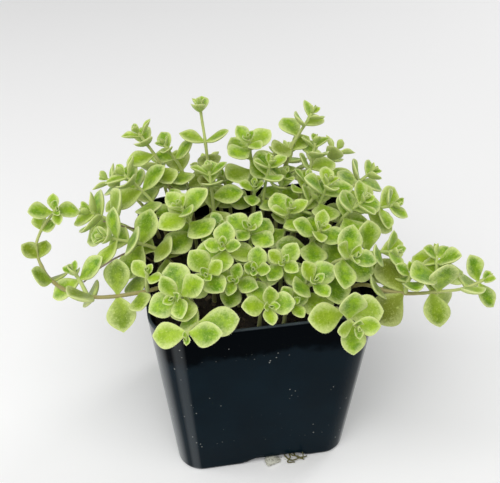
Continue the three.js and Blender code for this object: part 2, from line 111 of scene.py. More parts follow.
# [root x, y], [tip x, y, height over the rim], leaf size, pairs, turn of the first pair, spacing
UPRIGHT_SHOOTS = {
    "left": [
        [[-25, -2], [-49.5, -5.5, 17], 1.02, 7, 45, 0.85],
        [[-27, 13], [-41.5, 19, 25], 1, 5, 90, 0.9],
        [[-31, 5], [-54, 9.5, 17], 1.14, 4, 75, 0.8],
        [[-31, 25], [-48, 36, 12], 0.95, 4, 120, 1],
    ],
    "back_left": [
        [[-23, 23], [-35, 29, 35], 0.86, 6, 90, 1],
        [[-17, 28], [-26, 28, 29], 0.92, 5, 0, 1.25],
        [[-11, 21], [-13, 29, 43], 0.9, 6, 165, 2.3],
        [[-25, 29], [-29, 46, 11], 0.95, 4, 45, 1],
        [[-6, 30], [-10, 46, 9], 0.9, 4, 80, 1],
    ],
    "back_middle": [
        [[-11, 12], [-12, 16.5, 25], 0.94, 5, 90, 1],
        [[-3, 27], [-6.5, 26, 15], 0.7, 4, 50, 1],
        [[5, 26], [2.5, 20, 33], 0.96, 5, 30, 1],
        [[4, 18], [3.5, 14, 18], 0.8, 4, 75, 1],
    ],
    "back_right": [
        [[13, 23], [26, 25, 39], 0.82, 6, 30, 1],
        [[23, 18], [27, 23.5, 28], 0.86, 5, 105, 1],
        [[18, 13], [22.5, 13.5, 20], 0.8, 4, 75, 1],
        [[11, 13], [14.5, 15.5, 21], 0.82, 4, 60, 1],
        [[23, 5], [27.5, 4.5, 23], 1, 5, 0, 0.9],
        [[14, 5], [23, 6, 16], 0.86, 4, 60, 1],
        [[6, 14], [9, 14, 27], 0.92, 5, 105, 1],
        [[18, 30], [22, 45, 12], 0.95, 4, 30, 1],
        [[29, 29], [40, 38, 15], 0.95, 4, 65, 1],
    ],
    "right": [
        [[26, -3], [36.5, -7.5, 23], 1, 5, 15, 1],
        [[30, 5], [48, -6.5, 19], 0.95, 5, 60, 1],
        [[27, -12], [42.5, -25.5, 15], 0.95, 4, 25, 1],
        [[32, 16], [47, 17, 17], 0.95, 4, 0, 1],
    ],
    "centre": [
        [[-18, 2], [-23.5, -1, 23], 1.06, 5, 30, 0.85],
        [[-9, -11], [-12.5, -21, 21], 0.86, 5, 75, 1],
        [[-1, -5], [-2.5, -11, 19], 0.94, 4, 135, 1],
        [[11, 0], [12.5, -2.5, 19], 1, 4, 105, 1],
        [[17, -9], [20.5, -15, 19], 0.95, 5, 165, 0.85],
        [[20, -19], [27, -30.5, 19], 1.1, 5, 75, 1],
        [[-15, -14], [-18.5, -27, 15], 0.92, 4, 120, 1],
        [[-7, -18], [-10, -26.5, 11], 0.78, 4, 150, 1],
        [[0, -17], [-3.5, -26, 14], 0.8, 4, 75, 1],
        [[7, -17], [6, -25, 15], 0.82, 4, 45, 0.85],
        [[-20, 13], [-24, 13, 15], 0.95, 4, 10, 1],
        [[-6, 2], [-11, -2.5, 14], 0.88, 4, 15, 1],
    ],
    "front": [
        [[-22, -23], [-29.5, -36, 15], 1.04, 4, 15, 1],
        [[-2, -28], [-0.5, -38, 9], 0.9, 4, 0, 0.85],
        [[13, -25], [15, -31, 11], 1, 4, 30, 1],
        [[21, -29], [23.5, -50, 8], 1.05, 4, 90, 1],
        [[6, -29], [7.5, -33.5, 5], 0.85, 3, 30, 1],
    ],
}

# root, points [x, y, height over the rim], joints [distance from the tip, leaf size, opening, turn]
TRAILING_SHOOTS = {
    "left_trailing_shoot": [
        [[-25, -12], [[-31, -17, 2.5], [-38.5, -19.5, 4], [-50, -20, 4], [-60, -17, 4], [-68, -9, 5],
         [-71.5, -2, 11], [-69.5, 2, 16], [-65.5, 4, 20.5], [-63.6, 2, 24]],
         [(0.6, 0.36, 40, 60), (1.3, 0.52, 72, 60), (2.4, 0.78, 88, 150), (10.4, 0.5, 38, 90), (19.8,
          0.62, 40, 135), (29.1, 0.82, 65, 165), (45, 1.1, 70, 165), (52.9, 1.04, 95, 75), (60.1, 0.92,
          80, 135)]],
        [None, [[-56, -18.6, 4], [-58, -14, 6.5], [-60, -11, 9]],
         [(0.8, 0.36, 35, 0), (1.8, 0.55, 65, 75), (3.8, 1, 85, 150)]],
        [None, [[-37, -19.2, 4], [-37, -19.8, 8], [-36.5, -20, 12]],
         [(0.8, 0.36, 30, 45), (2, 0.62, 60, 135)]],
    ],
    "right_trailing_shoot": [
        [[24, -20], [[31, -27, 3.5], [38.5, -32.5, 4.5], [46, -35, 4.5], [54, -36, 5], [62, -37, 6],
         [69, -37, 9]],
         [(0.9, 0.45, 45, 15), (2.2, 0.85, 85, 105), (6.5, 0.88, 75, 15), (15.4, 1.1, 80, 135), (17.4,
          1, 85, 75), (26.5, 1.2, 125, 60), (34, 1, 85, 0)]],
        [None, [[44, -34.5, 4.5], [45, -33, 8], [46.5, -31.5, 11]],
         [(0.7, 0.36, 35, 0), (1.8, 0.55, 70, 0), (3.8, 0.8, 92, 90)]],
        [None, [[54, -36, 5], [54.5, -33, 9], [55, -29, 14]],
         [(0.7, 0.6, 60, 30), (2.2, 0.9, 78, 120), (6, 1.08, 90, 30)]],
    ],
    "front_trailing_shoot": [
        [[-14, -29], [[-20, -36, 4], [-25, -41, 7], [-27, -45, 7.5]],
         [(0.6, 0.3, 35, 75), (1.6, 1.02, 85, 165), (7.4, 1.12, 125, 165)]],
    ],
}


def unit(v):
    return v / np.linalg.norm(v)


def squared(direction, heading):
    """The direction's part at right angles to the heading."""
    return unit(direction - heading * direction.dot(heading))


def turned(v, axis, degrees):
    a = math.radians(degrees)
    return v * math.cos(a) + np.cross(axis, v) * math.sin(a) + axis * axis.dot(v) * (1 - math.cos(a))


def curve_point(points, share):
    """A point on the Catmull-Rom curve through the points, with mirrored ends."""
    last = len(points) - 1
    at = share * last
    i = min(int(at), last - 1)
    w = at - i
    before = points[i - 1] if i > 0 else 2 * points[0] - points[1]
    after = points[i + 2] if i + 2 <= last else 2 * points[last] - points[last - 1]
    a, b = points[i], points[i + 1]
    t0, t1 = 0.5 * (b - before), 0.5 * (after - a)
    return (2 * a - 2 * b + t0 + t1) * w**3 + (-3 * a + 3 * b - 2 * t0 - t1) * w**2 + t0 * w + a


class Spot:
    """A place on a stem, with the way it grows and the side that its leaves turn from."""

    def __init__(self, place, heading, side, from_tip=0.0):
        self.place, self.heading, self.side, self.from_tip = place, heading, side, from_tip


def walk(points, steps):
    """Spots along the curve, with sides that don't twist from one to the next."""
    places = [curve_point(points, i / steps) for i in range(steps + 1)]
    side = np.array([1.0, 0.0, 0.0])
    spots = []
    for i, place in enumerate(places):
        heading = unit(places[min(i + 1, steps)] - places[max(i - 1, 0)])
        side = squared(side, heading)
        spots.append(Spot(place, heading, side))
    for i in range(steps - 1, -1, -1):
        spots[i].from_tip = spots[i + 1].from_tip + float(np.linalg.norm(places[i] - places[i + 1]))
    return spots


def spot_from_tip(spots, distance):
    i = len(spots) - 2
    while i > 0 and spots[i].from_tip < distance:
        i -= 1
    low, high = spots[i], spots[i + 1]
    share = (low.from_tip - distance) / (low.from_tip - high.from_tip)
    heading = unit(low.heading + (high.heading - low.heading) * share)
    side = squared(low.side + (high.side - low.side) * share, heading)
    return Spot(low.place + (high.place - low.place) * share, heading, side, distance)


def leaf_axes(spot, turn, opening, facing):
    angle = math.radians(opening)
    side = turned(spot.side, spot.heading, turn)
    out = spot.heading * math.cos(angle) + side * math.sin(angle)
    grown = spot.heading * math.sin(angle) - side * math.cos(angle)
    face = squared(grown + (LIGHT - grown) * facing, out)
    return out, np.cross(face, out), face


def leaf_corners(spot, turn, opening, facing, length):
    out, edge, face = leaf_axes(spot, turn, opening, facing)
    half = LEAF_WIDTH / LEAF_LENGTH / 2 * length
    thick = LEAF_THICKNESS / LEAF_LENGTH * length
    return np.array([spot.place + out * along * length + edge * wide * half + face * high * thick
                     for along, wide, high in LEAF_HULL])


def apart(a, b, gap):
    """True when a plane parts the two sets of corners with more than gap between them."""
    between = a[0] - b[0]
    for _ in range(14):
        near_a = a[int(np.argmin(a @ between))]
        near_b = b[int(np.argmax(b @ between))]
        support = near_a - near_b
        if support.dot(between) > gap * math.sqrt(between.dot(between)):
            return True
        change = support - between
        share = min(1.0, max(0.0, -between.dot(change) / (change.dot(change) + 1e-12)))
        between = between + change * share
    return False


class Placed:
    """Everything placed so far, as convex sets of corners with their owners."""

    def __init__(self):
        self.owners, self.corners = [], []
        self.middles, self.reaches = np.zeros((0, 3)), np.zeros(0)

    def ball(self, corners):
        middle = corners.mean(0)
        return middle, np.linalg.norm(corners - middle, axis=1).max()

    def put(self, owner, corners):
        middle, reach = self.ball(corners)
        self.owners.append(owner)
        self.corners.append(corners)
        self.middles = np.vstack([self.middles, middle])
        self.reaches = np.append(self.reaches, reach)

    def is_clear(self, owner, corners):
        middle, reach = self.ball(corners)
        near = np.linalg.norm(self.middles - middle, axis=1) <= self.reaches + reach + LEAF_GAP
        return all(self.owners[i] == owner or apart(corners, self.corners[i], LEAF_GAP)
                   for i in np.flatnonzero(near))


def rounded_square(half, radius, z, steps):
    ring = []
    for corner in range(4):
        turn = corner * math.pi / 2
        flat = half - radius
        mx = flat * (math.cos(turn) - math.sin(turn))
        my = flat * (math.sin(turn) + math.cos(turn))
        for step in range(steps + 1):
            a = turn + step / steps * math.pi / 2
            ring.append((mx + radius * math.cos(a), my + radius * math.sin(a), z))
    return np.array(ring)


def pot_ring(z, inset, steps=5):
    rise = z / POT_HEIGHT
    half = (POT_BASE_WIDTH + (POT_TOP_WIDTH - POT_BASE_WIDTH) * rise) / 2 - inset
    radius = BASE_CORNER_RADIUS + (TOP_CORNER_RADIUS - BASE_CORNER_RADIUS) * rise - inset
    return rounded_square(half, radius, z, steps)


def over_rim(p):
    return np.array([p[0], p[1], POT_HEIGHT + p[2]], float)


def stem_points(root, tip=None):
    """The stem's way from its socket to the soil's surface, and on to the tip if there is one."""
    start = np.array([root[0], root[1], SOIL_TOP - SOCKET_DEPTH + FIT_GAP], float)
    surface = start.copy()
    surface[2] = SOIL_TOP + STEM_RADIUS_BASE + FIT_GAP
    if tip is None:
        return [start, surface]
    end = over_rim(tip)
    bend = surface + (end - surface) * LEAN_SHARE
    bend[2] = surface[2] + (end[2] - surface[2]) * RISE_SHARE
    return [start, surface, bend, end]


def stem_radius(from_tip, length):
    return STEM_RADIUS_TIP + (STEM_RADIUS_BASE - STEM_RADIUS_TIP) * from_tip / length


def stem_ring(spot, radius, sides):
    angles = [360 * i / sides for i in range(sides)]
    return np.array([turned(spot.side, spot.heading, angle) * radius + spot.place for angle in angles])


class Branch:
    def __init__(self, points, steps, joints, rooted):
        self.points, self.spots, self.joints, self.rooted = points, walk(points, steps), joints, rooted
        self.length = self.spots[0].from_tip
        self.leaves = []


def upright_joints(size, pairs, turn, spacing):
    """Pairs from the table, each a quarter turn from the last. The spacing stretches the older ones."""
    return [(along * (spacing if i > 1 else 1), share * size, opening, turn + 90 * i,
             FACE_TO_LIGHT * min(1.0, along / FACING_LENGTH))
            for i, (along, share, opening) in enumerate(PAIRS[:pairs])]


def planned_shoots():
    """Every shoot's branches, before a leaf has grown."""
    shoots = {}
    for name, rows in TRAILING_SHOOTS.items():
        shoots[name] = []
        for root, points, joints in rows:
            route = [over_rim(p) for p in points]
            if root:
                route = stem_points(root) + route
            steps = math.ceil(1.5 * len(route))
            facing_joints = [(*joint, TRAILING_FACE_TO_LIGHT) for joint in joints]
            shoots[name].append(Branch(route, steps, facing_joints, bool(root)))
    for region, rows in UPRIGHT_SHOOTS.items():
        for i, (root, tip, *growth) in enumerate(rows):
            branch = Branch(stem_points(root, tip), 5, upright_joints(*growth), True)
            shoots[f"{region}_shoot_{i + 1}"] = [branch]
    return shoots


def obstacles(shoots):
    """What a leaf has to clear from the start: the pot's upper wall, the soil and every stem."""
    placed = Placed()
    rings = [pot_ring(z, inset) for inset in (0, POT_WALL) for z in (POT_HEIGHT / 2, POT_HEIGHT)]
    for i in range(len(rings[0])):
        j = (i + 1) % len(rings[0])
        placed.put("pot", np.array([p for ring in rings for p in (ring[i], ring[j])]))
    soil = [pot_ring(z, POT_WALL) for z in (SOIL_TOP - SOCKET_DEPTH, SOIL_TOP)]
    placed.put("soil", np.vstack(soil))
    for name, branches in shoots.items():
        for branch in branches:
            sections = [stem_ring(s, stem_radius(s.from_tip, branch.length), 4) for s in branch.spots]
            for a, b in zip(sections, sections[1:]):
                placed.put(name, np.vstack([a, b]))
    return placed


def grow_pair(placed, name, branch, index):
    """The two leaves of one joint, each in the first of the YIELDS that is clear."""
    bare = LEAF_THICKNESS + (SOCKET_DEPTH if branch.rooted else 0)
    if index >= len(branch.joints) or branch.joints[index][0] > branch.length - bare:
        return
    distance, size, opening, turn, facing = branch.joints[index]
    spot = spot_from_tip(branch.spots, distance)
    for twin in (0, 180):
        for lean, twist, less in YIELDS:
            length = LEAF_LENGTH * size * less
            pose = (spot, turn + twin + twist, opening + lean, facing)
            corners = leaf_corners(*pose, length)
            if placed.is_clear(name, corners):
                placed.put(name, corners)
                branch.leaves.append((spot.place, *leaf_axes(*pose), length, distance))
                break


def grow():
    """All shoots with their leaves: every shoot's youngest pair grows first, then every next one."""
    shoots = planned_shoots()
    placed = obstacles(shoots)
    for index in range(max(len(branch.joints) for branches in shoots.values() for branch in branches)):
        for name, branches in shoots.items():
            for branch in branches:
                grow_pair(placed, name, branch, index)
    return shoots


# ---- Mesh building -------------------------------------------------------------------------------
class Build:
    """Gathers vertices, faces and named vertex values, and makes one smooth mesh object of them."""

    def __init__(self, *names):
        self.names = names
        self.points, self.faces, self.slots, self.count = [], [], [], 0
        self.values = {n: [] for n in names}

    def add(self, points, faces, slot=0, **values):
        self.points.append(points)
        self.faces.extend(tuple(i + self.count for i in f) for f in faces)
        self.slots.extend([slot] * len(faces))
        for n in self.names:
            self.values[n].append(np.broadcast_to(np.asarray(values.get(n, 0.0), float), (len(points),)))
        self.count += len(points)

    def make(self, name, materials):
        mesh = bpy.data.meshes.new(name)
        mesh.from_pydata((np.vstack(self.points) * MM).tolist(), [], self.faces)
        for n in self.names:
            attribute = mesh.attributes.new(n, "FLOAT", "POINT")
            attribute.data.foreach_set("value", np.concatenate(self.values[n]).astype(np.float32))
        for m in materials:
            mesh.materials.append(m)
        mesh.polygons.foreach_set("material_index", self.slots)
        mesh.polygons.foreach_set("use_smooth", [True] * len(mesh.polygons))
        mesh.update()
        made = bpy.data.objects.new(name, mesh)
        bpy.context.scene.collection.objects.link(made)
        return made


def skin(rows, across, closed_start=True, closed_end=True):
    """Faces between rows of points, each row a closed ring of the same number of points."""
    faces = []
    for r in range(rows - 1):
        for i in range(across):
            a, b = r * across + i, r * across + (i + 1) % across
            faces.append((a, b, b + across, a + across))
    if closed_start:
        faces.append(tuple(range(across))[::-1])
    if closed_end:
        faces.append(tuple(range((rows - 1) * across, rows * across)))
    return faces


# A shoot's material slots
LEAF, DOWN, STEM = 0, 1, 2

LEAF_ROWS, LEAF_ACROSS = 19, 22
LEAF_SHARES = 0.5 - 0.5 * np.cos(np.linspace(0, 1, LEAF_ROWS) * math.pi)
LEAF_SHARES[-1] = 0.9985
LEAF_ANGLES = np.linspace(0, 2 * math.pi, LEAF_ACROSS, endpoint=False)
LEAF_FACES = skin(LEAF_ROWS, LEAF_ACROSS)
HAIR_FACES = [(0, 1, 3), (1, 2, 3), (2, 0, 3)]


def add_leaf(build, place, out, edge, face, length, distance, rng):
    """A plump, cupped, pointed leaf: narrow foot, full keel below, thin raised margins."""
    grown = min(1, distance / YOUNG_REACH)
    half = LEAF_WIDTH / LEAF_LENGTH / 2 * length * rng.uniform(0.92, 1.08) * (0.76 + 0.24 * grown)
    thick = LEAF_THICKNESS / LEAF_LENGTH * length * rng.uniform(0.8, 1.0)
    foot_power, tip_power = rng.uniform(1.1, 1.35), rng.uniform(0.84, 1.0)
    cup = (0.16 + 0.3 * (1 - grown)) * rng.uniform(0.6, 1.35)
    curl = rng.uniform(-0.05, 0.09)
    sway = rng.uniform(-0.06, 0.06)
    roll = rng.uniform(-0.16, 0.16)

    u = LEAF_SHARES[:, None]
    peak = foot_power / (foot_power + tip_power)
    wide = (u / peak) ** foot_power * ((1 - u) / (1 - peak)) ** tip_power
    wide = np.sqrt(wide**2 + (0.13 * (1 - u) ** 2) ** 2)
    body = np.sin(np.clip(0.1 + 0.9 * u, 0, 1) * math.pi) ** 0.55
    body[0] = 0.5

    c, s = np.cos(LEAF_ANGLES), np.sin(LEAF_ANGLES)
    across = np.sign(c) * np.abs(c) ** 0.92
    rim = np.abs(across)
    share = wide * across
    depth = thick * body * np.where(s > 0, 0.3, 0.62) * np.sign(s) * np.abs(s) ** 0.85
    groove = -0.1 * thick * body * np.exp(-((across / 0.13) ** 2)) * (s > 0)
    rise = cup * half * share**2 + curl * length * u**2.2 + 0.5 * roll * half * share
    wave = 0.02 * length * wide * np.sin(5 * u + 2.2 * np.sign(c)) * rim**3

    x = share * half + sway * length * np.sin(u * math.pi)
    y = np.broadcast_to(u * length, x.shape)
    z = depth + groove + rise + wave
    points = (place + y[..., None] * out + x[..., None] * edge + z[..., None] * face).reshape(-1, 3)

    tipward = np.clip((u - 0.7) / 0.3, 0, 1) ** 2
    margin = (1 - (1 - rim**1.3) * (1 - tipward)).reshape(-1)
    under = np.tile(s < -0.05, LEAF_ROWS)
    foot = np.repeat((1 - LEAF_SHARES) ** 3, LEAF_ACROSS)
    # older leaves, further from the tip, get a darker olive in the material: partly their own tone, partly
    # painted shade of the inner leaves
    age = min(1.0, max(0.0, (distance - 6) / 18)) * rng.uniform(0.5, 1.0)
    tint = rng.random()
    build.add(points, LEAF_FACES, LEAF, margin=margin, under=under, foot=foot, age=age, tint=tint)
    grid = points.reshape(LEAF_ROWS, LEAF_ACROSS, 3)
    add_down(build, grid, out, edge, face, length, age, tint, rng)


def add_hair(build, root, direction, length, age, tint):
    across = np.cross(direction, [0.3, 0.2, 0.93])
    across = across / (np.linalg.norm(across) + 1e-9) * HAIR_RADIUS
    other = 0.87 * np.cross(direction, across)
    behind = root - 0.5 * across
    points = np.array([root + across, behind + other, behind - other, root + direction * length])
    build.add(points, HAIR_FACES, DOWN, margin=1.0, age=age, tint=tint)


def add_down(build, grid, out, edge, face, length, age, tint, rng):
    """Short pale hairs that stand out from the leaf's margins."""
    count = int(5 + 2.2 * length)
    for column, way in ((0, 1), (LEAF_ACROSS // 2, -1)):
        line = grid[:, column]
        for _ in range(count):
            at = rng.uniform(2.0, LEAF_ROWS - 1.2)
            i = int(at)
            root = line[i] + (line[i + 1] - line[i]) * (at - i)
            lean = unit(edge * way + out * rng.uniform(0.0, 0.7) + face * rng.uniform(-0.45, 0.5))
            add_hair(build, root - lean * HAIR_ROOT, lean, rng.uniform(0.22, 0.42), age, tint)


def add_stem(build, branch, rng):
    """A round, slightly uneven stem, a little thicker where each leaf pair clasps it, with fine hairs."""
    fine = walk(branch.points, 6 * (len(branch.points) - 1) + 8)
    tip = fine[-1].place
    joints = sorted({round(float(np.linalg.norm(place - tip)), 3) for place, *_ in branch.leaves})
    sides, rows, ages = 9, [], []
    for spot in fine:
        swell = sum(math.exp(-(((spot.from_tip - joint) / 0.8) ** 2)) for joint in joints)
        radius = stem_radius(spot.from_tip, branch.length) * 0.92 * (1 + 0.28 * min(1.0, swell))
        ring = stem_ring(spot, radius, sides)
        rows.append(ring + np.array([noise.noise(Vector(p * 0.6)) * 0.06 for p in ring])[:, None])
        ages += [min(1.0, spot.from_tip / 32)] * sides
    build.add(np.vstack(rows), skin(len(rows), sides), STEM, age=np.array(ages), tint=rng.random())
    for spot in fine[1:]:
        for _ in range(4):
            way = turned(spot.side, spot.heading, rng.uniform(0, 360))
            root = spot.place + way * stem_radius(spot.from_tip, branch.length) * 0.85
            lean = unit(way + spot.heading * rng.uniform(-0.3, 0.3))
            add_hair(build, root, lean, rng.uniform(0.2, 0.35), 0.3, 0.5)


def add_bud(build, branch, rng):
    """The growing tip: a closed pair of tiny leaves."""
    tip = branch.spots[-1]
    size, turn = branch.joints[0][1] / PAIRS[0][1], branch.joints[0][3] + 90
    for twin in (0, 180):
        out = leaf_axes(tip, turn + twin, BUD_OPENING, 0)[0]
        side = turned(tip.side, tip.heading, turn + twin)
        face = squared(tip.heading * 0.4 - side, out)
        length = LEAF_LENGTH * size * BUD_SHARE
        add_leaf(build, tip.place, out, np.cross(face, out), face, length, 0, rng)


# ---- Materials -----------------------------------------------------------------------------------
def srgb(*levels):
    """Linear colour and alpha from levels of 0 to 255."""
    linear = [((c / 255 + 0.055) / 1.055) ** 2.4 if c > 10 else c / 255 / 12.92 for c in levels]
    return (*linear, 1.0)


class Nodes:
    """A material's node tree with short calls for the few node kinds used here."""

    def __init__(self, name):
        self.material = bpy.data.materials.new(name)
        self.material.use_nodes = True
        self.tree = self.material.node_tree
        self.shader = self.tree.nodes["Principled BSDF"]

    def put(self, kind, inputs=None, **settings):
        node = self.tree.nodes.new(kind)
        for k, v in settings.items():
            setattr(node, k, v)
        for k, v in (inputs or {}).items():
            self.wire(v, node.inputs[k])
        return node

    def wire(self, value, socket):
        if isinstance(value, bpy.types.NodeSocket):
            self.tree.links.new(value, socket)
        else:
            socket.default_value = value

    def value(self, name):
        return self.put("ShaderNodeAttribute", attribute_name=name).outputs["Fac"]

    def place(self):
        return self.put("ShaderNodeTexCoord").outputs["Object"]

    def noise(self, scale, detail=2.0, rough=0.5, vector=None):
        node = self.put("ShaderNodeTexNoise", {"Scale": scale, "Detail": detail, "Roughness": rough,
                                               "Vector": vector or self.place()})
        return node.outputs["Fac"]

    def cells(self, scale, out="Distance"):
        node = self.put("ShaderNodeTexVoronoi", {"Scale": scale, "Vector": self.place()})
        return node.outputs[out]

    def specks(self, scale, small, large, few, many):
        """Round specks, in the cells whose random colour is bright enough."""
        spot = self.ramp(self.cells(scale), small, large, 1, 0)
        return self.math("MULTIPLY", spot, self.ramp(self.cells(scale, "Color"), few, many))

    def math(self, kind, a, b=0.0, clamp=False):
        node = self.put("ShaderNodeMath", operation=kind, use_clamp=clamp)
        self.wire(a, node.inputs[0])
        self.wire(b, node.inputs[1])
        return node.outputs[0]

    def ramp(self, value, low, high, to_low=0.0, to_high=1.0):
        """A smooth change from to_low to to_high as the value goes from low to high."""
        node = self.put("ShaderNodeMapRange", {"Value": value, "From Min": low, "From Max": high,
                                               "To Min": to_low, "To Max": to_high})
        node.interpolation_type = "SMOOTHSTEP"
        return node.outputs["Result"]

    def mix(self, share, a, b):
        """A mix of two colours, by the node's colour sockets: 6 and 7 in, 2 out."""
        node = self.put("ShaderNodeMix", data_type="RGBA")
        self.wire(share, node.inputs["Factor"])
        self.wire(a, node.inputs[6])
        self.wire(b, node.inputs[7])
        return node.outputs[2]

    def bump(self, height, strength, distance, normal=None):
        inputs = {"Height": height, "Strength": strength, "Distance": distance}
        if normal is not None:
            inputs["Normal"] = normal
        return self.put("ShaderNodeBump", inputs).outputs["Normal"]

    def surface(self, color, roughness, normal=None, **sockets):
        self.wire(color, self.shader.inputs["Base Color"])
        self.wire(roughness, self.shader.inputs["Roughness"])
        if normal is not None:
            self.wire(normal, self.shader.inputs["Normal"])
        for name, v in sockets.items():
            self.wire(v, self.shader.inputs[name.replace("_", " ")])
        return self.material


def leaf_material():
    """Saturated green in the middle, frosted towards the margins, with fine down and a bright thin edge."""
    n = Nodes("crassula_leaf")
    margin, under, age, tint, foot = (n.value(k) for k in ("margin", "under", "age", "tint", "foot"))
    blotch = n.noise(300, 3, 0.6)
    grain = n.noise(1700, 2, 0.6)
    frost = n.noise(1150, 3, 0.75)
    dots = n.ramp(n.cells(1900), 0.10, 0.34, 1, 0)
    green = n.mix(n.ramp(blotch, 0.34, 0.68), srgb(94, 140, 1), srgb(150, 188, 16))
    green = n.mix(n.ramp(tint, 0.3, 1.0, 0, 0.6), green, srgb(166, 192, 38))
    # older leaves turn olive; this dark olive is partly their own tone and partly painted shade of the
    # inner, lower leaves
    green = n.mix(n.math("MULTIPLY", age, n.ramp(tint, 0.1, 0.9, 0.6, 1.0)), green, srgb(96, 104, 2))
    green = n.mix(n.ramp(frost, 0.56, 0.72, 0, 0.45), green, srgb(84, 112, 2))
    green = n.mix(n.ramp(frost, 0.44, 0.28, 0, 0.5), green, srgb(200, 212, 110))
    green = n.mix(n.math("MULTIPLY", dots, 0.3), green, srgb(202, 214, 122))
    wobble = n.math("ADD", margin, n.ramp(frost, 0.3, 0.7, 0.14, -0.14))
    reach = n.math("ADD", n.ramp(wobble, 0.12, 1.02, 0.0, 0.79), n.ramp(margin, 0.9, 1.0, 0.0, 0.16))
    reach = n.math("MULTIPLY", reach, n.ramp(age, 0.3, 1.0, 1.0, 0.55))
    pale = n.mix(reach, green, srgb(221, 230, 158))
    pale = n.mix(n.math("MULTIPLY", foot, 0.5), pale, srgb(186, 204, 92))
    below = n.mix(n.ramp(age, 0.1, 0.9, 0.62, 0.3), pale, srgb(196, 208, 130))
    color = n.mix(under, pale, below)
    height = n.math("ADD", n.math("MULTIPLY", dots, 0.7), n.math("MULTIPLY", grain, 0.5))
    normal = n.bump(height, 0.4, 0.00012, n.bump(blotch, 0.3, 0.0005))
    return n.surface(color, n.ramp(grain, 0.3, 0.7, 0.42, 0.6), normal, Subsurface_Weight=0.12,
                     Subsurface_Radius=(0.0011, 0.0014, 0.0004), Subsurface_Scale=1.0, Sheen_Weight=0.12,
                     Sheen_Roughness=0.4, Sheen_Tint=(0.9, 1.0, 0.75, 1.0), Specular_IOR_Level=0.35)


def down_material():
    n = Nodes("pale_down")
    color = n.mix(n.noise(900, 1), srgb(214, 226, 180), srgb(240, 244, 220))
    return n.surface(color, 0.6, Sheen_Weight=0.3, Sheen_Roughness=0.4)


def stem_material():
    n = Nodes("crassula_stem")
    age, tint = n.value("age"), n.value("tint")
    streak = n.noise(420, 3, 0.6)
    young = n.mix(streak, srgb(168, 190, 92), srgb(204, 214, 142))
    old = n.mix(streak, srgb(128, 128, 58), srgb(164, 156, 98))
    color = n.mix(n.ramp(age, 0.25, 1.0), young, old)
    color = n.mix(n.math("MULTIPLY", tint, 0.25), color, srgb(170, 150, 100))
    normal = n.bump(n.noise(1600, 2), 0.4, 0.0001)
    return n.surface(color, n.ramp(streak, 0.3, 0.7, 0.5, 0.7), normal, Subsurface_Weight=0.1,
                     Subsurface_Radius=(0.001, 0.001, 0.0004), Subsurface_Scale=1.0, Sheen_Weight=0.2)


def pot_material():
    """Glossy blue-black plastic: a painted shade band under the rim, dusty and rubbed, with a painted
    highlight line on the rim.
    """
    n = Nodes("pot_plastic_glossy")
    place = n.place()
    height = n.put("ShaderNodeSeparateXYZ", {"Vector": place}).outputs["Z"]
    height = n.math("ADD", height, n.ramp(n.noise(46, 4, 0.7), 0.3, 0.7, -0.0026, 0.0026))
    # painted shade: the top band of the pot, under the rim and the plant, is painted darker, with a wavy
    # lower edge
    painted_shade = n.ramp(height, (POT_HEIGHT - 16) * MM, (POT_HEIGHT - 11.5) * MM)
    color = n.mix(n.ramp(n.noise(42, 3, 0.55), 0.35, 0.7), srgb(2, 18, 27), srgb(3, 23, 33))
    color = n.mix(painted_shade, color, srgb(2, 5, 9))
    # painted highlight: a light grey line along the rim's top
    color = n.mix(n.math("MULTIPLY", n.value("rim"), 0.8), color, srgb(70, 78, 84))

    dust = n.specks(520, 0.09, 0.15, 0.68, 0.72)
    fine = n.math("MULTIPLY", n.specks(1500, 0.05, 0.14, 0.86, 0.9), 0.6)
    patch = n.ramp(n.noise(55, 2, 0.6), 0.44, 0.58)
    dusty = n.math("MULTIPLY", n.math("ADD", dust, fine), patch, True)
    color = n.mix(n.math("MULTIPLY", dusty, 0.85), color, srgb(168, 170, 164))

    stretched = n.put("ShaderNodeMapping", {"Vector": place, "Scale": (1.0, 1.0, 0.06)}).outputs["Vector"]
    rub = n.noise(900, 3, 0.7, stretched)
    rough = n.math("ADD", n.ramp(rub, 0.45, 0.8, 0.15, 0.26), n.math("MULTIPLY", dusty, 0.4))
    normal = n.bump(rub, 0.05, 0.0001, n.bump(n.noise(16, 1, 0.4), 0.22, 0.004))

    normals = n.put("ShaderNodeTexCoord").outputs["Normal"]
    facing = n.put("ShaderNodeSeparateXYZ", {"Vector": normals}).outputs["X"]
    sideways = n.ramp(n.math("ABSOLUTE", facing), 0.62, 0.97)
    streak = n.math("MULTIPLY", n.ramp(facing, -0.54, -0.38), n.ramp(facing, -0.28, -0.12, 1, 0))
    gloss = n.math("ADD", n.math("MULTIPLY", sideways, 0.75), n.math("MULTIPLY", streak, 0.32))
    gloss = n.math("ADD", n.ramp(painted_shade, 0, 1, 0.035, 0.01), gloss)
    return n.surface(color, rough, normal, Specular_IOR_Level=gloss, Specular_Tint=(0.8, 0.92, 1.0, 1.0))


def soil_material():
    n = Nodes("potting_mix_peat")
    crumb = n.noise(700, 5, 0.7)
    color = n.mix(n.ramp(crumb, 0.3, 0.75), srgb(10, 8, 6), srgb(58, 46, 34))
    chips = n.math("MULTIPLY", n.ramp(n.cells(600, "Color"), 0.9, 0.93), 0.6)
    color = n.mix(chips, color, srgb(120, 104, 80))
    return n.surface(color, n.ramp(crumb, 0.3, 0.7, 0.8, 1.0), n.bump(crumb, 0.8, 0.0008))


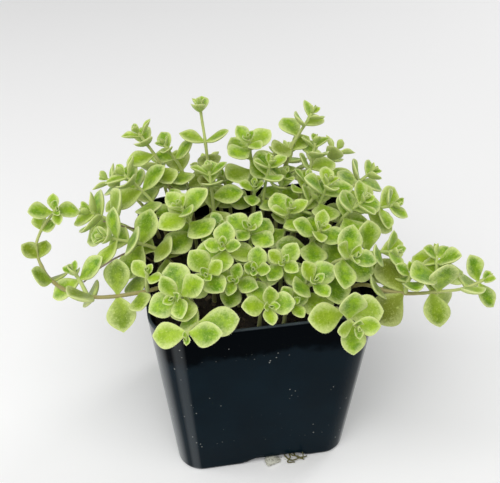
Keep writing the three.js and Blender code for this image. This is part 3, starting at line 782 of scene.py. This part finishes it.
def grain_material():
    n = Nodes("perlite_white")
    pores_and_painted_shade = n.noise(900, 4, 0.7)
    # the dark end is partly the perlite's own grey pores and partly painted shade, darker than the grain
    # itself
    color = n.mix(n.ramp(pores_and_painted_shade, 0.3, 0.55), srgb(98, 92, 74), srgb(204, 204, 190))
    return n.surface(color, n.ramp(pores_and_painted_shade, 0.3, 0.7, 0.8, 1.0), n.bump(pores_and_painted_shade, 0.9, 0.0005))


def root_material():
    n = Nodes("rootlets")
    mottle = n.noise(1200, 3, 0.6)
    color = n.mix(mottle, srgb(46, 46, 16), srgb(128, 122, 66))
    return n.surface(color, n.ramp(mottle, 0.3, 0.7, 0.6, 0.85), n.bump(mottle, 0.6, 0.0002))


def twig_material():
    n = Nodes("dry_twigs")
    streak = n.noise(900, 3, 0.6)
    color = n.mix(streak, srgb(96, 80, 66), srgb(168, 150, 130))
    return n.surface(color, n.ramp(streak, 0.3, 0.7, 0.6, 0.8), n.bump(streak, 0.5, 0.0002))


def floor_material():
    n = Nodes("studio_floor")
    shade = n.noise(3, 2)
    color = n.mix(n.math("MULTIPLY", shade, 0.02), srgb(250, 250, 250), srgb(244, 244, 244))
    return n.surface(color, n.ramp(shade, 0.3, 0.7, 0.85, 0.9))


# ---- The shoots ----------------------------------------------------------------------------------
shoots = grow()
leaf_look, down_look, stem_look = leaf_material(), down_material(), stem_material()
for number, (name, branches) in enumerate(shoots.items()):
    rng = random.Random(1000 + number)
    build = Build("margin", "under", "foot", "age", "tint")
    for branch in branches:
        add_stem(build, branch, rng)
        for place, out, edge, face, length, distance in branch.leaves:
            add_leaf(build, place, out, edge, face, length, distance, rng)
        add_bud(build, branch, rng)
    piece = build.make(name + "_look", [leaf_look, down_look, stem_look])
    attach(piece, "root")
    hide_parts(name)


# ---- The pot -------------------------------------------------------------------------------------
def arch_gap(x, z):
    """Height z over the drain arch's edge, at x along a side: below zero is open."""
    top, wide = DRAIN_HEIGHT, DRAIN_WIDTH / 2
    reach = abs(x - DRAIN_OFFSET)
    edge = top if reach <= wide else top * max(0.0, 1 - (reach - wide) / DRAIN_FLARE)
    return z - edge


def along_side(p):
    """How far a point of the pot stands from the middle of its side."""
    if abs(p[1]) >= abs(p[0]):
        return p[0] if p[1] < 0 else -p[0]
    return p[1] if p[0] > 0 else -p[1]


def side_ring(z, inset, steps=14, flat=26):
    """The pot's ring at height z, with points on its straight sides too, for the arches."""
    corner = pot_ring(z, inset, steps)
    points, per = [], steps + 1
    for side in range(4):
        points += list(corner[side * per:(side + 1) * per])
        start, end = corner[(side + 1) * per - 1], corner[((side + 1) * per) % (4 * per)]
        points += [start + (end - start) * k / flat for k in range(1, flat)]
    return np.array(points)


def build_pot():
    """The pot's outside, rim and inside as one skin, lifted to the edge of each drain arch."""
    build = Build("rim")
    top = POT_HEIGHT
    outer_heights = (DRAIN_HEIGHT * 0.5, DRAIN_HEIGHT * 0.8, DRAIN_HEIGHT + 0.3, 5, 8, 14, 24, 36, 48, 60,
                     top - 9, top - 4, top - 1.5, top - 0.6)
    inner_heights = (top - 1, top - 3, top - 7, 60, 40, 20, 6, 3.6)
    outside = [side_ring(z, inset) for z, inset in ((0.0, 0.75), (0.25, 0.3), (0.8, 0.05))]
    outside += [side_ring(z, 0) for z in outer_heights]
    rim = [side_ring(top - RIM_ROUNDING, RIM_ROUNDING), side_ring(top, 0.4), side_ring(top, POT_WALL - 0.4)]
    inside = [side_ring(top - RIM_ROUNDING, POT_WALL - RIM_ROUNDING)]
    inside += [side_ring(z, POT_WALL) for z in inner_heights]
    rows = outside + rim + inside
    across = len(rows[0])
    points = np.vstack(rows)
    for i, p in enumerate(points):
        gap = arch_gap(along_side(p), p[2])
        if gap < 0 and p[2] < DRAIN_HEIGHT + 0.2:
            p[2] += i // across * 0.02 - gap
    # the rim's rows, which carry the painted highlight in the pot's material
    bright = np.repeat([0] * len(outside) + [1] * len(rim) + [0] * len(inside), across)
    build.add(points, skin(len(rows), across, False, True), rim=bright)
    return build


pot_look = pot_material()
pot_piece = build_pot().make("pot_look", [pot_look])
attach(pot_piece, "root")
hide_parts("pot")


def build_underside():
    """The pot's foot: a floor with a channel from each arch to the middle pad, with a drain hole in each."""
    build = Build("rim")
    count = 90
    half = POT_BASE_WIDTH / 2 - FOOT_INSET
    radius = BASE_CORNER_RADIUS - FOOT_INSET
    axis = np.linspace(-half, half, count)
    x, y = np.meshgrid(axis, axis)
    qx, qy = np.maximum(np.abs(x) - (half - radius), 0), np.maximum(np.abs(y) - (half - radius), 0)
    far = np.hypot(qx, qy)
    scale = radius / np.maximum(far, radius)
    x = np.where(far > radius, np.sign(x) * (half - radius + qx * scale), x)
    y = np.where(far > radius, np.sign(y) * (half - radius + qy * scale), y)
    z = np.zeros_like(x)
    for c, s in ((1, 0), (0, 1), (-1, 0), (0, -1)):
        along, depth = x * c + y * s, x * s - y * c
        reach = np.abs(along - DRAIN_OFFSET)
        shape = np.clip(1 - (reach - DRAIN_WIDTH / 2) / DRAIN_FLARE, 0, 1)
        start = np.clip((depth - DRAIN_PAD) / CHANNEL_END + 0.5, 0, 1)
        z = np.maximum(z, DRAIN_HEIGHT * shape * start)
    points = np.dstack([x, y, z]).reshape(-1, 3)
    faces = []
    hole = (DRAIN_PAD + POT_BASE_WIDTH / 2) / 2
    centres = [(DRAIN_OFFSET, -hole), (hole, DRAIN_OFFSET), (-DRAIN_OFFSET, hole), (-hole, -DRAIN_OFFSET)]
    for i in range(count - 1):
        for j in range(count - 1):
            a = i * count + j
            face = (a, a + count, a + count + 1, a + 1)
            middle = points[list(face)].mean(0)
            across, down = points[face[2]] - points[a], points[face[1]] - points[face[3]]
            # near the rounded corners some quads are squeezed flat or turned over
            folded = across[0] * down[1] - across[1] * down[0] < 0.3
            if not folded and min(math.dist(middle[:2], centre) for centre in centres) > DRAIN_HOLE_RADIUS:
                faces.append(face)
    build.add(points, faces)
    return build


foot_piece = build_underside().make("pot_underside", [pot_look])
thicken = foot_piece.modifiers.new("thickness", "SOLIDIFY")
thicken.thickness = FOOT_THICKNESS * MM
thicken.offset = -1
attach(foot_piece, "root")


# ---- Potting mix: a crumbly heap with loose crumbs on it -----------------------------------------
def on_ball(angle, rise):
    return np.array([math.cos(angle) * math.cos(rise), math.sin(angle) * math.cos(rise), math.sin(rise)])


def add_crumb(build, middle, size, rng):
    rises, angles = (-1.0, -0.1, 0.8), np.linspace(0, 2 * math.pi, 6, endpoint=False)
    stretch = np.array([rng.uniform(0.7, 1.3) for _ in range(3)])
    points = [middle + on_ball(angle, rise) * stretch * size * rng.uniform(0.75, 1.2)
              for rise in rises for angle in angles]
    build.add(np.array(points), skin(len(rises), len(angles)))


def lumps(p):
    return 0.9 * noise.noise(Vector(p * 0.22)) + 0.5 * noise.noise(Vector(p * 0.7))


def build_mix():
    build = Build()
    rng = random.Random(7)
    inset, steps = POT_WALL + FIT_GAP, 12
    lows = (POT_FLOOR + DRAIN_HEIGHT + FIT_GAP, 30, SOIL_TOP - 1.5)
    rings = [pot_ring(z, inset, steps) for z in lows]
    top_ring = pot_ring(SOIL_TOP, inset, steps)
    for share in np.linspace(1, 0.02, 26):
        ring = top_ring * [share, share, 1]
        ring[:, 2] += [lumps(p) - 0.7 * share**8 for p in ring]
        rings.append(ring)
    build.add(np.vstack(rings), skin(len(rings), len(top_ring)))
    half = POT_TOP_WIDTH / 2 - 4
    for _ in range(900):
        x, y = rng.uniform(-half, half), rng.uniform(-half, half)
        spot = np.array([x, y, SOIL_TOP + rng.uniform(-0.1, 0.5)])
        add_crumb(build, spot, rng.uniform(0.25, 0.85), rng)
    return build


mix_piece = build_mix().make("potting_mix_look", [soil_material()])
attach(mix_piece, "root")
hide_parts("potting_mix")


# ---- Perlite and rootlets in the front arch ------------------------------------------------------
def build_grains():
    """Three lumps of perlite, placed and sized by the CAD grain's box, with crumbs round them."""
    build = Build()
    rng = random.Random(3)
    low, high = (np.array(v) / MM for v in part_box("perlite_grain"))
    middle, reach = (low + high) / 2, (high - low) / 2
    rises = np.linspace(-math.pi / 2 * 0.97, math.pi / 2 * 0.97, 14)
    angles = np.linspace(0, 2 * math.pi, 18, endpoint=False)
    swell = 1.2
    for shift, scale in (((-0.3, 0.2, 0.02), 0.86), ((0.52, 0.1, -0.35), 0.5), ((-0.62, -0.3, -0.42), 0.42)):
        shift = np.array(shift)
        points = []
        for rise in rises:
            for angle in angles:
                d = on_ball(angle, rise)
                coarse, fine = noise.noise(Vector(d * 2.1 + shift * 9)), noise.noise(Vector(d * 6))
                size = scale * (1 + 0.22 * coarse + 0.1 * fine)
                points.append(middle + reach * swell * (shift + d * size))
        build.add(np.array(points), skin(len(rises), len(angles)))
    for _ in range(16):
        spot = middle + reach * np.array([rng.uniform(-1.3, 2.4), rng.uniform(-0.4, 0.9), -0.75])
        add_crumb(build, spot, rng.uniform(0.12, 0.3), rng)
    return build


grain_piece = build_grains().make("perlite_look", [grain_material()])
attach(grain_piece, "root")
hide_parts("perlite_grain")


def add_strand(build, points, radius, tip_radius, sides=8, wobble=0.12):
    """A thin, uneven strand through the points, which gets thinner towards its tip."""
    fine = walk([np.array(p, float) for p in points], 9 * (len(points) - 1))
    length = fine[0].from_tip
    rows = []
    for spot in fine:
        r = tip_radius + (radius - tip_radius) * spot.from_tip / length
        ring = stem_ring(spot, r, sides)
        rows.append(ring + np.array([noise.noise_vector(Vector(p * 0.9)) for p in ring]) * wobble)
    build.add(np.vstack(rows), skin(len(rows), sides))


def build_roots():
    """Rootlets from the front drain hole, out through the arch."""
    build = Build()
    arch_y = -POT_BASE_WIDTH / 2
    start = (DRAIN_OFFSET + 1, -(DRAIN_PAD + POT_BASE_WIDTH / 2) / 2, DRAIN_HEIGHT)
    # x, distance out of the arch, height
    for route in (
        [(6, -6, 1.4), (9, 1.2, 0.7), (13.5, 1.6, 1.6), (16, 0.8, 0.8)],
        [(8, -5, 1.2), (9.5, 0.6, 1.8), (8.2, 2.4, 1.0), (11, 2.6, 0.6)],
        [(9, -6, 1.4), (12, 0.4, 0.9), (14.2, 1.7, 1.2), (13.8, 2.2, 5.4)],
        [(7, -4, 2.2), (10, 0.4, 2.3), (12.5, 1.2, 2.0), (14.6, 2.0, 0.5)],
    ):
        points = [start] + [(x, arch_y - out, z) for x, out, z in route]
        add_strand(build, points, STRAND_RADIUS, 0.2)
    return build


root_piece = build_roots().make("drain_roots_look", [root_material()])
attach(root_piece, "root")
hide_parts("drain_roots")


def build_twigs():
    """Two dry twigs that lean out over the left rim."""
    build = Build()
    z = POT_HEIGHT
    for route in (
        [(-33, 8, z - 3), (-37.5, 5.5, z + 9), (-43.1, 2.0, z + 15), (-49.1, 1.7, z + 18)],
        [(-34, 2, z - 2), (-40, -2, z + 7), (-49.1, -14.4, z + 13), (-56.9, -13.8, z + 6)],
    ):
        add_strand(build, route, STRAND_RADIUS, 0.22, 7, 0.15)
    return build


twig_piece = build_twigs().make("dry_twigs", [twig_material()])
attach(twig_piece, "root")

# ---- Studio --------------------------------------------------------------------------------------
scene = bpy.context.scene


def build_floor():
    side, count = 3.0, 60
    axis = np.linspace(-side, side, count)
    points = [(x / MM, y / MM, 0) for y in axis for x in axis]
    faces = [(r * count + c, r * count + c + 1, (r + 1) * count + c + 1, (r + 1) * count + c)
             for r in range(count - 1) for c in range(count - 1)]
    build = Build()
    build.add(np.array(points), faces)
    return build.make("floor", [floor_material()])


build_floor()


def area_light(name, place, aim, size, power):
    data = bpy.data.lights.new(name, "AREA")
    data.shape = "RECTANGLE"
    data.size, data.size_y = size
    data.energy = power
    light = bpy.data.objects.new(name, data)
    light.location = place
    light.rotation_mode = "QUATERNION"
    light.rotation_quaternion = (Vector(aim) - Vector(place)).to_track_quat("-Z", "Y")
    scene.collection.objects.link(light)


area_light("key_above", (-0.18, -0.42, 0.85), (0, 0, 0.08), (0.9, 0.9), 7.8)
area_light("side_left", (-0.75, 0.12, 0.35), (0, 0, 0.05), (0.28, 0.6), 1.6)
area_light("back_right", (0.62, 0.42, 0.42), (0, 0, 0.06), (0.3, 0.5), 1.6)

world = bpy.data.worlds.new("studio")
world.use_nodes = True
world.node_tree.nodes["Background"].inputs["Color"].default_value = (1, 1, 1, 1)
world.node_tree.nodes["Background"].inputs["Strength"].default_value = 0.26
scene.world = world
scene.view_settings.view_transform = "Standard"

# The camera, by a fit to the pot's corners in the photograph. Lights and camera are in metres.
camera_data = bpy.data.cameras.new("camera")
camera_data.lens, camera_data.sensor_width = 59.16, 36
camera_data.clip_start, camera_data.clip_end = 0.01, 20
camera = bpy.data.objects.new("camera", camera_data)
scene.collection.objects.link(camera)
scene.camera = camera
azimuth, elevation, distance = math.radians(-9.52), math.radians(38.65), 0.3153
right = Vector((math.cos(azimuth), math.sin(azimuth), 0))
level = math.cos(elevation)
back = Vector((math.sin(azimuth) * level, -math.cos(azimuth) * level, math.sin(elevation)))
up = back.cross(right)
aim = Vector((0, 0, 0.03)) - right * 0.000422 + up * 0.04003
turn = Matrix((right, up, back)).transposed().to_4x4()
camera.matrix_world = Matrix.Translation(aim + back * distance) @ turn
